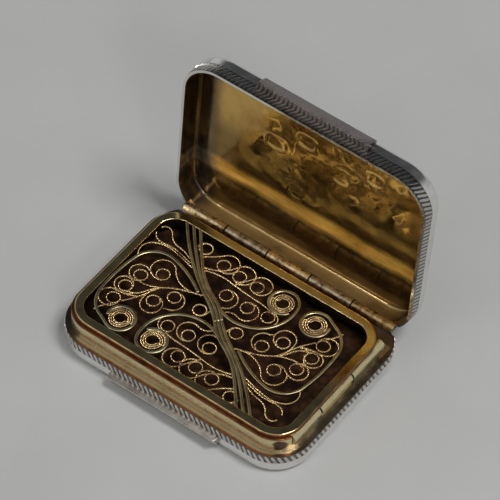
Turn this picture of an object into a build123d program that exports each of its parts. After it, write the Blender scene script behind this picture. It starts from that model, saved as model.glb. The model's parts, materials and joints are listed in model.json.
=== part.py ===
from build123d import *
import os
from math import atan2, cos, degrees, hypot, pi, radians, sin

# A silver vinaigrette: a flat box with a milled side band, a hinged lid that stands open, and inside it a
# gilt bezel with a hinged filigree grille over a sponge for scent. Millimetres, +Z up. The origin is the
# centre of the underside, +Y points at the lid's hinge and +X at the grille's hinge.

os.makedirs("parts", exist_ok=True)

# Box
length = 38.0
depth = 27.9
corner_radius = 5.4
base_height = 3.4
lid_height = 3.8
wall = 0.4
plate_thickness = 0.4
turned_edge = 1.1
edge_radius = 0.9
soft_edge = 0.08

# Gaps and fits
solder_gap = 0.02
rim_gap = 0.08
running_fit = 0.05
knuckle_gap = 0.08
stop_gap = 0.04
overrun = 2.0

# Ledge and bezel
ledge_width = 0.88
ledge_thickness = 0.4
bezel_height = 2.5
bezel_wall = 0.4
bezel_radius = 4.3
back_ledge = 1.5

# Lid hinge, five knuckles flush with the back
lid_open_degrees = 93.2
hinge_radius = 0.85
hinge_pin_radius = 0.35
hinge_end = 1.825
knuckle_count = 5
gallery_depth = 0.5
gallery_front = 0.4

# Thumb lips, one on the base and one on the lid
lip_length = 17.3
lip_reach = 1.2
lip_drop = 1.4
lip_end_radius = 0.7
lip_foot_height = 0.2
lip_foot_reach = 0.1

# Grille
frame_inset = 0.35
frame_strip = 1.3
frame_thickness = 0.5
frame_round = 0.28
frame_inner_round = 0.12
frame_seat_gap = 0.05

# Grille hinge, three knuckles along the right side
grille_tube_radius = 0.7
grille_tube_reach = 0.05
grille_pin_radius = 0.28
grille_knuckle_front = 5.8
grille_knuckle_centre = 6.9
grille_knuckle_rear = 6.9
grille_hinge_setback = 2.47
grille_foot = 0.4

# Sponge
sponge_side_gap = 0.35
sponge_floor_gap = 0.1
sponge_height = 3.4
sponge_round = 0.6

# Filigree wires: plain flat strips on edge, and fine twisted wire
strip_width = 0.42
strip_height = 0.5
wire_width = 0.22
wire_height = 0.34
wire_sink = 0.08
coil_inner_radius = 0.82
coil_pitch = 0.3

# Filigree layout. The pattern's centre is a share of the opening's half length and half depth from the
# opening's own centre; every other place is such a share read from the pattern's centre. What is listed is
# the upper right half, and a half turn about the centre gives the rest.
pattern_centre_share = (-0.041, -0.055)
stem_start_share = (-0.765, 1.12)
stem_heading_degrees = -52.0
stem_share = [(-0.45, 0.55), (-0.2, 0.25), (0.0, 0.0)]
stem_spread_shares = [0.085, 0.055, 0.046, 0.045]
upper_start_share = (-0.11, 0.225)
upper_heading_degrees = -38.0
upper_share = [(0.08, 0.115), (0.36, 0.33)]
upper_eye_share = (0.3, 0.742)
upper_meets_degrees = 10.0
upper_eye_degrees = 320.0
right_start_share = (0.3, -0.22)
right_heading_degrees = -36.0
right_share = [(0.66, -0.47), (0.91, -0.2), (0.93, 0.5), (0.78, 0.82)]
right_eye_share = (0.63, 0.71)
right_meets_degrees = 60.0
right_eye_degrees = 320.0
eye_fill_share = 0.83

# One row for each curl: its ring's centre, the angle at which the bow leaves the ring, the bow's radius in
# ring radii, the bow's turn, the way it winds (1 counterclockwise, -1 clockwise), and the foot at which
# the wire ends.
ring_share = 0.088
ring_degrees = 335.0
upper_curl_shares = [
    (-0.515, 0.86, 90, 1.3, 45, 1, -0.585, 0.83),
    (-0.301, 0.777, 235, 1.7, 265, 1, -0.505, 0.72),
    (-0.133, 0.752, 235, 1.7, 280, 1, -0.43, 0.6),
    (0.04, 0.748, 235, 1.65, 275, 1, -0.12, 0.61),
    (-0.105, 0.405, 125, 1.7, 265, -1, -0.185, 0.272),
    (0.1, 0.405, 125, 1.7, 235, -1, -0.02, 0.16),
    (0.285, 0.442, 140, 1.35, 150, -1, 0.285, 0.215),
]
right_curl_shares = [
    (0.183, -0.01, 100, 1.25, 75, 1, 0.1, -0.085),
    (0.417, 0.025, 290, 1.7, 190, -1, 0.425, 0.265),
    (0.529, 0.23, 280, 1.65, 275, -1, 0.585, 0.04),
    (0.798, 0.495, 200, 1.6, 290, -1, 0.66, 0.3),
    (0.796, 0.25, 160, 1.4, 280, 1, 0.7, 0.3),
    (0.765, -0.005, 150, 1.5, 250, -1, 0.69, -0.1),
    (0.629, -0.186, 125, 1.85, 270, -1, 0.25, -0.23),
]
# Long wires that carry the curls: start, heading in degrees and the points passed.
upper_spine_shares = [((-0.415, 0.55), 24, [(-0.16, 0.61), (0.14, 0.57), (0.28, 0.53)])]
right_spine_shares = [
    ((0.34, -0.17), 12, [(0.53, -0.03), (0.7, 0.085), (0.79, 0.06)]),
    ((0.56, 0.0), 62, [(0.62, 0.2), (0.73, 0.48)]),
    ((0.58, 0.03), 50, [(0.64, 0.18), (0.76, 0.31)]),
    ((0.77, 0.6), 40, [(0.85, 0.8)]),
]
corner_spine_shares = [
    ((-0.49, 0.5), 166, [(-0.6, 0.545), (-0.74, 0.585), (-0.88, 0.54), (-0.94, 0.36), (-0.9, 0.24)]),
    ((-0.53, 0.55), 166, [(-0.66, 0.6), (-0.8, 0.605), (-0.88, 0.61), (-0.935, 0.7)]),
    ((-0.56, 0.6), 150, [(-0.7, 0.67), (-0.82, 0.79), (-0.88, 0.85), (-0.932, 0.79)]),
]

# Worked out from the sizes above
half_length = length / 2
half_depth = depth / 2
rim_z = base_height - rim_gap / 2
lid_rim_z = base_height + rim_gap / 2
lid_top_z = base_height + lid_height
bezel_top_z = rim_z + bezel_height
hinge_y = half_depth - hinge_radius
hinge_axis = Axis((0, hinge_y, base_height), (1, 0, 0))
hinge_bore_radius = hinge_pin_radius + running_fit
knuckle_length = (length - 2 * hinge_end) / knuckle_count
hinge_front_y = hinge_y - hinge_radius - solder_gap
shoulder = (hinge_radius * sin(radians(lid_open_degrees)) + stop_gap) / (1 + cos(radians(lid_open_degrees)))
bezel_front_y = -half_depth + ledge_width
bezel_back_y = hinge_front_y - back_ledge
bezel_half_length = half_length - ledge_width
bezel_half_depth = (bezel_back_y - bezel_front_y) / 2
bezel_mid_y = (bezel_back_y + bezel_front_y) / 2
frame_z = bezel_top_z + frame_seat_gap
frame_top_z = frame_z + frame_thickness
opening_half_length = bezel_half_length - frame_inset - frame_strip
opening_half_depth = bezel_half_depth - frame_inset - frame_strip
pattern_x = pattern_centre_share[0] * opening_half_length
pattern_y = bezel_mid_y + pattern_centre_share[1] * opening_half_depth
ring_radius = ring_share * opening_half_depth
grille_hinge_x = bezel_half_length + grille_tube_reach - grille_tube_radius
grille_hinge_z = bezel_top_z - grille_tube_radius + frame_seat_gap / 2
grille_bore_radius = grille_pin_radius + running_fit
grille_hinge_front = bezel_front_y + grille_hinge_setback
seam_front = grille_hinge_front + grille_knuckle_front
seam_rear = seam_front + grille_knuckle_centre
grille_hinge_rear = seam_rear + grille_knuckle_rear
eye_step_x = (right_eye_share[0] - upper_eye_share[0]) * opening_half_length
eye_step_y = (right_eye_share[1] - upper_eye_share[1]) * opening_half_depth
eye_radius = eye_fill_share * (hypot(eye_step_x, eye_step_y) - strip_width - 2 * solder_gap) / 2
coil_room = eye_radius - coil_pitch - strip_width / 2 - wire_width / 2 - solder_gap - coil_inner_radius
coil_half_turns = 1 + int(coil_room / (coil_pitch / 2))
strip_z = frame_top_z - strip_height
wire_z = frame_top_z - wire_sink - wire_height


def box(x0, x1, y0, y1, z0, z1):
    block = Box(x1 - x0, y1 - y0, z1 - z0)
    return Pos((x0 + x1) / 2, (y0 + y1) / 2, (z0 + z1) / 2) * block


def outline(inset=0.0):
    return RectangleRounded(length - 2 * inset, depth - 2 * inset, corner_radius - inset)


def bezel_outline(inset=0.0):
    size_x = 2 * (bezel_half_length - inset)
    size_y = 2 * (bezel_half_depth - inset)
    return Pos(0, bezel_mid_y) * RectangleRounded(size_x, size_y, bezel_radius - inset)


def slab(sketch, z0, z1):
    return extrude(Pos(0, 0, z0) * sketch, z1 - z0)


def soften(faces, radius):
    edges = ShapeList()
    for face in faces:
        edges.extend(face.edges())
    return fillet(edges, radius)


def open_lid(part):
    return part.rotate(hinge_axis, -lid_open_degrees)


def save(part, name):
    part.label = name
    export_step(part, f"parts/{name}.step")
    print(name, len(part.solids()), round(part.volume, 4))


# Plates: shallow trays with a rounded, turned edge
def tray():
    shell = slab(outline(), 0, turned_edge)
    shell = fillet(shell.faces().sort_by(Axis.Z)[0].edges(), edge_radius)
    hollow = slab(outline(wall), plate_thickness, turned_edge + overrun)
    hollow = fillet(hollow.faces().sort_by(Axis.Z)[0].edges(), edge_radius - wall)
    return shell - hollow


def lid_plate():
    return open_lid(Pos(0, 0, lid_top_z) * mirror(tray(), about=Plane.XY))


# Side bands: smooth here, milled with fine slanted ribs on the real box
def base_band():
    band = slab(outline() - outline(wall), turned_edge, rim_z)
    band += slab(outline() - bezel_outline(-solder_gap), rim_z - ledge_thickness, rim_z)
    band -= box(-length, length, hinge_front_y, depth, base_height - shoulder, base_height + overrun)
    return band


def lid_band():
    band = slab(outline() - outline(wall), lid_rim_z, lid_top_z - turned_edge)
    band -= box(-length, length, hinge_front_y, depth, base_height - overrun, base_height + shoulder)
    return open_lid(band)


# Thumb lips: a wedge whose flat side faces the meeting line
def thumb_lip(height):
    """The lip of a half box of this height that stands on its plate."""
    ridge_z = height - lip_drop
    profile = Polyline(
        (-half_depth + wall, ridge_z),
        (-half_depth - lip_reach, ridge_z),
        (-half_depth - lip_foot_reach, lip_foot_height),
        (-half_depth + wall, lip_foot_height),
        close=True,
    )
    wedge = extrude(Plane.YZ * make_face(profile), lip_length / 2, both=True)
    plan = Pos(0, -half_depth) * RectangleRounded(lip_length, 2 * lip_reach, lip_end_radius)
    envelope = slab(outline(-solder_gap), -solder_gap, height + overrun)
    envelope = fillet(envelope.faces().sort_by(Axis.Z)[0].edges(), edge_radius + solder_gap)
    return (wedge & slab(plan, 0, height)) - envelope


def lid_thumb_lip():
    return open_lid(Pos(0, 0, lid_top_z) * mirror(thumb_lip(lid_height), about=Plane.XY))


# Bezel, with room for the grille's hinge on its right side
def bezel():
    ring = slab(bezel_outline() - bezel_outline(bezel_wall), plate_thickness, bezel_top_z)
    ring = fillet(ring.faces().sort_by(Axis.Z)[-1].edges(), soft_edge)
    seat_z = grille_hinge_z - grille_tube_radius - solder_gap
    room = box(
        grille_hinge_x - overrun,
        half_length,
        grille_hinge_front - knuckle_gap,
        grille_hinge_rear + knuckle_gap,
        seat_z,
        bezel_top_z + overrun,
    )
    return ring - room


# Lid hinge
def hinge_tube(x0, x1, radius):
    return Pos((x0 + x1) / 2, hinge_y, base_height) * Rot(0, 90, 0) * Cylinder(radius, x1 - x0)


def hinge_knuckle(place):
    """Knuckle number place, from -2 on the left to 2; the even ones turn with the lid."""
    x0 = (place - 0.5) * knuckle_length + knuckle_gap / 2
    x1 = (place + 0.5) * knuckle_length - knuckle_gap / 2
    tube = hinge_tube(x0, x1, hinge_radius) & slab(outline(), 0, lid_top_z)
    if place % 2 == 0:
        z0, z1 = base_height, base_height + shoulder
    else:
        z0, z1 = base_height - shoulder, base_height
    foot = slab(outline() - outline(wall), z0, z1) & box(x0, x1, hinge_y - hinge_radius, depth, z0, z1)
    return tube + foot - hinge_tube(-length, length, hinge_bore_radius)


def lid_hinge_pin():
    return hinge_tube(-length, length, hinge_pin_radius) & slab(outline(solder_gap), 0, lid_top_z)


def hinge_gallery():
    """The trough under the tube, soldered between the ledge and the back wall."""
    top = rim_z - ledge_thickness - solder_gap
    bottom = base_height - shoulder - gallery_depth
    inside = slab(outline(wall + solder_gap), bottom, top)
    trough = inside & box(-length, length, hinge_front_y - gallery_front, depth, bottom, top)
    trough -= hinge_tube(-length, length, hinge_radius + running_fit)
    return trough - box(-length, length, hinge_y, depth, base_height - shoulder, top + overrun)


# Grille hinge
def grille_tube(y0, y1, radius):
    return Pos(grille_hinge_x, (y0 + y1) / 2, grille_hinge_z) * Rot(90, 0, 0) * Cylinder(radius, y1 - y0)


def grille_knuckle(y0, y1, moving):
    y0 += knuckle_gap / 2
    y1 -= knuckle_gap / 2
    tube = grille_tube(y0, y1, grille_tube_radius)
    if moving:
        top = frame_z
        foot = box(grille_hinge_x - grille_foot, grille_hinge_x, y0, y1, grille_hinge_z, top)
    else:
        bottom = grille_hinge_z - grille_tube_radius - solder_gap
        foot = box(bezel_half_length - bezel_wall, bezel_half_length, y0, y1, bottom, grille_hinge_z)
    return tube + foot - grille_tube(-depth, depth, grille_bore_radius)


def grille_hinge_pin():
    return grille_tube(grille_hinge_front + knuckle_gap, grille_hinge_rear - knuckle_gap, grille_pin_radius)


def sponge():
    bottom = plate_thickness + sponge_floor_gap
    block = slab(bezel_outline(bezel_wall + sponge_side_gap), bottom, bottom + sponge_height)
    faces = block.faces().sort_by(Axis.Z)
    return soften([faces[0], faces[-1]], sponge_round)


# Grille frame
def grille_frame():
    plate = slab(bezel_outline(frame_inset), frame_z, frame_top_z)
    plate = fillet(plate.faces().sort_by(Axis.Z)[-1].edges(), frame_round)
    hole = slab(bezel_outline(frame_inset + frame_strip), frame_z - overrun, frame_top_z + overrun)
    frame = plate - hole
    inner = frame.faces().sort_by(Axis.Z)[-1].inner_wires()[0].edges()
    return fillet(inner, frame_inner_round)


# Filigree. A wire is a row of arcs, each (centre, radius, start angle, turn); the arcs of one wire are
# tangent to each other, and the radius is never negative.
def place(share):
    x = pattern_x + share[0] * opening_half_length
    return x, pattern_y + share[1] * opening_half_depth


def bends(start, heading, points):
    """Tangent arcs from start through the points, first along heading."""
    x, y = start
    way = radians(heading)
    arcs = []
    for px, py in points:
        lean = (atan2(py - y, px - x) - way + pi) % (2 * pi) - pi
        radius = hypot(px - x, py - y) / (2 * sin(lean))
        cx = x - radius * sin(way)
        cy = y + radius * cos(way)
        arcs.append(((cx, cy), abs(radius), degrees(atan2(y - cy, x - cx)), degrees(2 * lean)))
        way += 2 * lean
        x, y = px, py
    return arcs


def chain(shares):
    start, heading, points = shares
    return bends(place(start), heading, [place(p) for p in points])


def curl(row):
    """A ring of twisted wire, the wider bow that winds out of it, and an arc from the bow to its foot."""
    x_share, y_share, leaves, bow_radii, bow_turn, way, foot_x_share, foot_y_share = row
    x, y = place((x_share, y_share))
    bow = bow_radii * ring_radius
    bow_x = x + (ring_radius - bow) * cos(radians(leaves))
    bow_y = y + (ring_radius - bow) * sin(radians(leaves))
    last = leaves + way * bow_turn
    end = (bow_x + bow * cos(radians(last)), bow_y + bow * sin(radians(last)))
    arcs = [((x, y), ring_radius, leaves, -way * ring_degrees), ((bow_x, bow_y), bow, leaves, way * bow_turn)]
    return arcs + bends(end, last + way * 90, [place((foot_x_share, foot_y_share))])


def ribbon(arcs, width):
    """The flat outline of a wire: one ring sector for each arc."""
    sectors = []
    for centre, radius, start, turn in arcs:
        outer = CenterArc(centre, radius + width / 2, start, turn)
        inner = CenterArc(centre, radius - width / 2, start, turn)
        sectors.append(make_face([outer, Line(outer @ 1, inner @ 1), inner, Line(inner @ 0, outer @ 0)]))
    shape = sectors[0]
    for sector in sectors[1:]:
        shape = shape + sector
    return shape


def eye(centre_share, meets, turn):
    """The strip's last turn, which winds in towards the coil."""
    x, y = place(centre_share)
    quarter = turn / 3
    arcs = []
    radius = eye_radius
    angle = meets
    for k in range(3):
        arcs.append(((x, y), radius, angle, quarter))
        angle += quarter
        smaller = radius - coil_pitch / 3
        x += (radius - smaller) * cos(radians(angle))
        y += (radius - smaller) * sin(radians(angle))
        radius = smaller
    return arcs


def eye_meeting(centre_share, meets):
    x, y = place(centre_share)
    return x + eye_radius * cos(radians(meets)), y + eye_radius * sin(radians(meets))


def scroll(start, heading, points, its_eye):
    centre_share, meets, turn = its_eye
    lead = bends(place(start), heading, [place(p) for p in points] + [eye_meeting(centre_share, meets)])
    return lead + eye(centre_share, meets, turn)


def coil(centre_share):
    """A tight spiral of half turns in the middle of an eye."""
    x, y = place(centre_share)
    arcs = []
    radius = coil_inner_radius
    for k in range(coil_half_turns):
        arcs.append(((x, y), radius, 180 * (k % 2), 180))
        x += coil_pitch / 2 if k % 2 else -coil_pitch / 2
        radius += coil_pitch / 2
    return arcs


def stem(side):
    """One strip of the sheaf, side -1, 0 or 1, from the back frame edge to the middle."""
    points = [place(stem_start_share)] + [place(p) for p in stem_share]
    moved = []
    for k, (x, y) in enumerate(points):
        before = points[max(k - 1, 0)]
        after = points[min(k + 1, len(points) - 1)]
        way = atan2(after[1] - before[1], after[0] - before[0])
        off = side * stem_spread_shares[k] * opening_half_depth
        moved.append((x - off * sin(way), y + off * cos(way)))
    return bends(moved[0], stem_heading_degrees, moved[1:])


def half_turned(arcs):
    turned = []
    for (x, y), radius, start, turn in arcs:
        turned.append(((2 * pattern_x - x, 2 * pattern_y - y), radius, start + 180, turn))
    return turned


upper_eye = (upper_eye_share, upper_meets_degrees, upper_eye_degrees)
right_eye = (right_eye_share, right_meets_degrees, right_eye_degrees)
upper_scroll = scroll(upper_start_share, upper_heading_degrees, upper_share, upper_eye)
right_scroll = scroll(right_start_share, right_heading_degrees, right_share, right_eye)
strips = {
    "stem_centre_strip": [stem(0), half_turned(stem(0))],
    "stem_upper_strip": [stem(1), half_turned(stem(-1))],
    "stem_lower_strip": [stem(-1), half_turned(stem(1))],
    "scroll_upper": [upper_scroll],
    "scroll_lower": [half_turned(upper_scroll)],
    "scroll_right": [right_scroll],
    "scroll_left": [half_turned(right_scroll)],
}
coils = {
    "coil_upper": coil(upper_eye_share),
    "coil_right": coil(right_eye_share),
    "coil_lower": half_turned(coil(upper_eye_share)),
    "coil_left": half_turned(coil(right_eye_share)),
}
upper_wires = [curl(row) for row in upper_curl_shares] + [chain(row) for row in upper_spine_shares]
right_wires = [curl(row) for row in right_curl_shares] + [chain(row) for row in right_spine_shares]
corner_wires = [chain(row) for row in corner_spine_shares]
sprays = {
    "curls_back": upper_wires,
    "curls_right": right_wires,
    "curls_back_corner": corner_wires,
    "curls_front": [half_turned(wire) for wire in upper_wires],
    "curls_left": [half_turned(wire) for wire in right_wires],
    "curls_front_corner": [half_turned(wire) for wire in corner_wires],
}


def filigree():
    """Every wire by name, laid in order: each one is cut clear of those laid before it."""
    window = bezel_outline(frame_inset + frame_strip + solder_gap)
    laid = Sketch()
    solids = {}
    for name, wires in strips.items():
        shape = Sketch() + [ribbon(wire, strip_width) for wire in wires]
        solids[name] = extrude(Pos(0, 0, strip_z) * ((shape & window) - laid), strip_height)
        laid = laid + [ribbon(wire, strip_width + 2 * solder_gap) for wire in wires]
    for name, wire in coils.items():
        shape = Sketch() + ribbon(wire, wire_width)
        solids[name] = extrude(Pos(0, 0, wire_z) * (shape - laid), wire_height)
        laid = laid + ribbon(wire, wire_width + 2 * solder_gap)
    for name, wires in sprays.items():
        shape = Sketch() + [ribbon(wire, wire_width) for wire in wires]
        solids[name] = extrude(Pos(0, 0, wire_z) * ((shape & window) - laid), wire_height)
        laid = laid + [ribbon(wire, wire_width + 2 * solder_gap) for wire in wires]
    return solids


save(tray(), "base_plate")
save(base_band(), "base_band")
save(thumb_lip(base_height), "base_thumb_lip")
save(bezel(), "bezel")
save(hinge_gallery(), "hinge_gallery")
save(hinge_knuckle(-1), "base_knuckle_left")
save(hinge_knuckle(1), "base_knuckle_right")
save(lid_hinge_pin(), "lid_hinge_pin")
save(sponge(), "sponge")
save(lid_plate(), "lid_plate")
save(lid_band(), "lid_band")
save(lid_thumb_lip(), "lid_thumb_lip")
save(open_lid(hinge_knuckle(-2)), "lid_knuckle_left")
save(open_lid(hinge_knuckle(0)), "lid_knuckle_centre")
save(open_lid(hinge_knuckle(2)), "lid_knuckle_right")

save(grille_knuckle(grille_hinge_front, seam_front, False), "grille_knuckle_front")
save(grille_knuckle(seam_front, seam_rear, True), "grille_knuckle_centre")
save(grille_knuckle(seam_rear, grille_hinge_rear, False), "grille_knuckle_rear")
save(grille_hinge_pin(), "grille_hinge_pin")
save(grille_frame(), "grille_frame")
for wire_name, wire_solid in filigree().items():
    save(wire_solid, wire_name)
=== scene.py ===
import json
import math
from math import cos, pi, radians, sin
import bmesh
import bpy
from mathutils import Matrix, Vector, noise


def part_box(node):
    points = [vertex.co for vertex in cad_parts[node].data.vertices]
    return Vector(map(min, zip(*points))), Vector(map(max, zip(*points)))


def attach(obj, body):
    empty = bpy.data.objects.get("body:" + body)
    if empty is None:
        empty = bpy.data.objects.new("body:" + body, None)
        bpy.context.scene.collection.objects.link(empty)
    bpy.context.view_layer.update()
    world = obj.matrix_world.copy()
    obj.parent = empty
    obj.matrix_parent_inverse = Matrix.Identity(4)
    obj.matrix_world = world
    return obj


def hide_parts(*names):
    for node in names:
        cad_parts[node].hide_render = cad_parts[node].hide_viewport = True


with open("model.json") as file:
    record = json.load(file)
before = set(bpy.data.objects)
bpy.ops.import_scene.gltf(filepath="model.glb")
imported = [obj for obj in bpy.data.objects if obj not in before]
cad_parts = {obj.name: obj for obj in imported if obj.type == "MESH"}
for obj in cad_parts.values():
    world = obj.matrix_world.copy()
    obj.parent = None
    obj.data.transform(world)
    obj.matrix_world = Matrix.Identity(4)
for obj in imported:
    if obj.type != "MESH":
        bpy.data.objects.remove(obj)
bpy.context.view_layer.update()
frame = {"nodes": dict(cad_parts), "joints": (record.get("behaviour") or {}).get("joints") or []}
nodes = frame["nodes"]
mm = 0.001  # sizes below are in millimetres, Blender works in metres

# The photograph's camera and the studio
photoCamera = {
    "azimuth": 34.22,
    "elevation": 50.5,
    "roll": 2.84,
    "distance": 452.65,
    "focalPixels": 3497.35,
    "framePixels": 500,
    "sensorWidth": 36.0,
    "clipStart": 10.0,
    "target": (-2.065, 6.794, 11.57),
}
studio = {
    "floorSize": 900.0,
    "floorColour": (0.425, 0.427, 0.427),
    "floorDim": 0.94,  # share of that colour in the darker patches
    "floorPatches": 35,
    "floorRoughness": 0.55,
    "floorSheen": 0.25,
    "wallSky": (0.48, 0.485, 0.49),  # sky near the horizon
    "ceilingSky": (0.40, 0.405, 0.41),  # sky overhead
    "skySteps": (0.55, 0.9),  # where one turns into the other, 0.5 is the horizon
    "skyPatches": [
        {"towards": (-0.25, -0.50, 0.80), "inner": 20, "outer": 48, "colour": (0.66, 0.66, 0.64)},
        {"towards": (-0.05, 0.60, 0.80), "inner": 32, "outer": 48, "colour": (0.055, 0.057, 0.06)},
    ],
    "lamps": {
        "overhead": {"towards": (0.38, 0.08, 0.92), "distance": 900, "size": 300, "power": 4.6,
                     "colour": (1.0, 0.99, 0.97)},
        "windowRight": {"towards": (0.62, -0.45, 0.62), "distance": 900, "size": 170, "power": 0.9,
                        "colour": (1.0, 0.985, 0.96)},
        "windowFront": {"towards": (-0.27, -0.77, 0.52), "distance": 900, "size": 140, "power": 0.5,
                        "colour": (1.0, 0.98, 0.94)},
    },
}


def vectorMm(values):
    return Vector(values) * mm


def newObject(name, data):
    item = bpy.data.objects.new(name, data)
    bpy.context.scene.collection.objects.link(item)
    return item


def meshObject(name, bm):  # the bmesh is used up
    mesh = bpy.data.meshes.new(name)
    bm.to_mesh(mesh)
    bm.free()
    return newObject(name, mesh)


def makeCamera(spec):
    azimuth = radians(spec["azimuth"])
    elevation = radians(spec["elevation"])
    roll = radians(spec["roll"])
    back = Vector((sin(azimuth) * cos(elevation), -cos(azimuth) * cos(elevation),
                   sin(elevation)))
    right = (-back).cross(Vector((0, 0, 1))).normalized()
    up = right.cross(-back)
    rolledRight = right * cos(roll) + up * sin(roll)
    rolledUp = -right * sin(roll) + up * cos(roll)
    stand = Matrix((rolledRight, rolledUp, back)).transposed().to_4x4()
    stand.translation = vectorMm(spec["target"]) + back * spec["distance"] * mm
    data = bpy.data.cameras.new("photoCamera")
    data.sensor_width = spec["sensorWidth"]
    data.lens = spec["focalPixels"] / spec["framePixels"] * spec["sensorWidth"]
    data.clip_start = spec["clipStart"] * mm
    camera = newObject("photoCamera", data)
    camera.matrix_world = stand
    bpy.context.scene.camera = camera


def makeLamp(name, spec):
    data = bpy.data.lights.new(name, "AREA")
    data.shape = "DISK"
    data.size = spec["size"] * mm
    data.energy = spec["power"]
    data.color = spec["colour"]
    towards = Vector(spec["towards"]).normalized()
    turn = towards.to_track_quat("Z", "Y").to_matrix().to_4x4()
    newObject(name, data).matrix_world = Matrix.Translation(towards * spec["distance"] * mm) @ turn


# Shader helpers
def newMaterial(name):
    material = bpy.data.materials.new(name)
    material.use_nodes = True
    tree = material.node_tree
    shader = tree.nodes["Principled BSDF"]
    coords = tree.nodes.new("ShaderNodeTexCoord").outputs
    return material, tree, shader, coords


def addNoise(tree, vector, scale, detail=3.0, roughness=0.55, distortion=0.0):
    node = tree.nodes.new("ShaderNodeTexNoise")
    node.inputs["Scale"].default_value = scale
    node.inputs["Detail"].default_value = detail
    node.inputs["Roughness"].default_value = roughness
    node.inputs["Distortion"].default_value = distortion
    tree.links.new(vector, node.inputs["Vector"])
    return node.outputs["Fac"]


def addMapping(tree, vector, scale, rotation=(0, 0, 0)):
    node = tree.nodes.new("ShaderNodeMapping")
    node.inputs["Scale"].default_value = scale
    node.inputs["Rotation"].default_value = rotation
    tree.links.new(vector, node.inputs["Vector"])
    return node.outputs["Vector"]


def addRamp(tree, factor, stops):
    node = tree.nodes.new("ShaderNodeValToRGB")
    ramp = node.color_ramp
    ramp.elements[0].position = stops[0][0]
    ramp.elements[0].color = (*stops[0][1], 1)
    ramp.elements[1].position = stops[-1][0]
    ramp.elements[1].color = (*stops[-1][1], 1)
    for position, colour in stops[1:-1]:
        ramp.elements.new(position).color = (*colour, 1)
    tree.links.new(factor, node.inputs["Fac"])
    return node.outputs["Color"]


def addRange(tree, value, fromMin, fromMax, toMin, toMax):
    node = tree.nodes.new("ShaderNodeMapRange")
    for name, number in (("From Min", fromMin), ("From Max", fromMax), ("To Min", toMin), ("To Max", toMax)):
        node.inputs[name].default_value = number
    tree.links.new(value, node.inputs["Value"])
    return node.outputs["Result"]


def addMath(tree, operation, first, second):
    node = tree.nodes.new("ShaderNodeMath")
    node.operation = operation
    for slot, value in enumerate((first, second)):
        if isinstance(value, (int, float)):
            node.inputs[slot].default_value = value
        else:
            tree.links.new(value, node.inputs[slot])
    return node.outputs["Value"]


def addMix(tree, factor, first, second, blend="MIX"):
    node = tree.nodes.new("ShaderNodeMix")
    node.data_type = "RGBA"
    node.blend_type = blend
    for slot, value in ((0, factor), (6, first), (7, second)):
        if isinstance(value, (int, float)):
            node.inputs[slot].default_value = value
        elif isinstance(value, tuple):
            node.inputs[slot].default_value = (*value, 1)
        else:
            tree.links.new(value, node.inputs[slot])
    return node.outputs[2]


def addBump(tree, shader, height, distance):
    node = tree.nodes.new("ShaderNodeBump")
    node.inputs["Distance"].default_value = distance
    node.inputs["Strength"].default_value = 1.0
    tree.links.new(height, node.inputs["Height"])
    tree.links.new(node.outputs["Normal"], shader.inputs["Normal"])


def addVectorMath(tree, operation, *values):
    node = tree.nodes.new("ShaderNodeVectorMath")
    node.operation = operation
    for slot, value in enumerate(values):
        if isinstance(value, (tuple, Vector)):
            node.inputs[slot].default_value = value
        else:
            tree.links.new(value, node.inputs[slot])
    return node.outputs["Value" if operation in ("DOT_PRODUCT", "DISTANCE", "LENGTH") else "Vector"]


def addAlong(tree, coords, axis):  # how far a point lies along the axis
    return addVectorMath(tree, "DOT_PRODUCT", coords["Object"], axis)


def addUneven(tree, coords, scale, detail, height):  # noise that makes a mask's edge ragged
    return addMath(tree, "MULTIPLY", addNoise(tree, coords["Object"], scale, detail), height * mm)


def hollowMask(centre):  # 1 on the faces of a shell that look into its hollow, 0 outside
    def mask(tree, coords):
        outwards = addVectorMath(tree, "SUBTRACT", coords["Object"], centre)
        facing = addVectorMath(tree, "DOT_PRODUCT", outwards, coords["Normal"])
        return addRange(tree, facing, 0, -0.2 * mm, 0, 1)
    return mask


def sideMask(axis):  # 1 on walls that stand along the axis, 0 on faces across it
    def mask(tree, coords):
        along = addVectorMath(tree, "DOT_PRODUCT", coords["Normal"], axis)
        return addRange(tree, addMath(tree, "ABSOLUTE", along, 0), 0.4, 0.6, 1, 0)
    return mask


def seamMask(axis, offset, spacing, reach):  # 1 at evenly spaced seams across the axis
    def mask(tree, coords):
        along = addMath(tree, "ADD", addAlong(tree, coords, axis), offset * mm)
        distance = addMath(tree, "PINGPONG", along, spacing / 2 * mm)
        return addRange(tree, distance, reach / 2 * mm, reach * mm, 1, 0)
    return mask


def rimMask(halfX, halfY, radius, reach):  # 1 within this reach of a rounded outline's edge, 0 further in
    def mask(tree, coords):
        folded = addVectorMath(tree, "ABSOLUTE", coords["Object"])
        over = addVectorMath(tree, "SUBTRACT", folded, ((halfX - radius) * mm, (halfY - radius) * mm, 1))
        away = addVectorMath(tree, "LENGTH", addVectorMath(tree, "MAXIMUM", over, (0, 0, 0)))
        return addRange(tree, away, (radius - reach) * mm, (radius - reach / 2) * mm, 0, 1)
    return mask


def heightMask(full, none, ragged=0.1):  # 1 at the first height and past it, 0 at the second and past it
    def mask(tree, coords):
        edge = addUneven(tree, coords, 900, 3, ragged)
        height = addMath(tree, "ADD", addAlong(tree, coords, (0, 0, 1)), edge)
        return addRange(tree, height, (full + ragged / 2) * mm, (none + ragged / 2) * mm, 1, 0)
    return mask


def beyondMask(axis, start, end):  # 0 before the start along the axis, 1 past the end
    def mask(tree, coords):
        return addRange(tree, addAlong(tree, coords, axis), start * mm, end * mm, 0, 1)
    return mask


def spotMask(centre, inner, outer, ragged=1.2):  # 1 round a point
    def mask(tree, coords):
        away = addVectorMath(tree, "DISTANCE", coords["Object"], vectorMm(centre))
        edge = addMath(tree, "ADD", away, addUneven(tree, coords, 700, 4, ragged))
        return addRange(tree, edge, (inner + ragged / 2) * mm, (outer + ragged / 2) * mm, 1, 0)
    return mask


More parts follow.
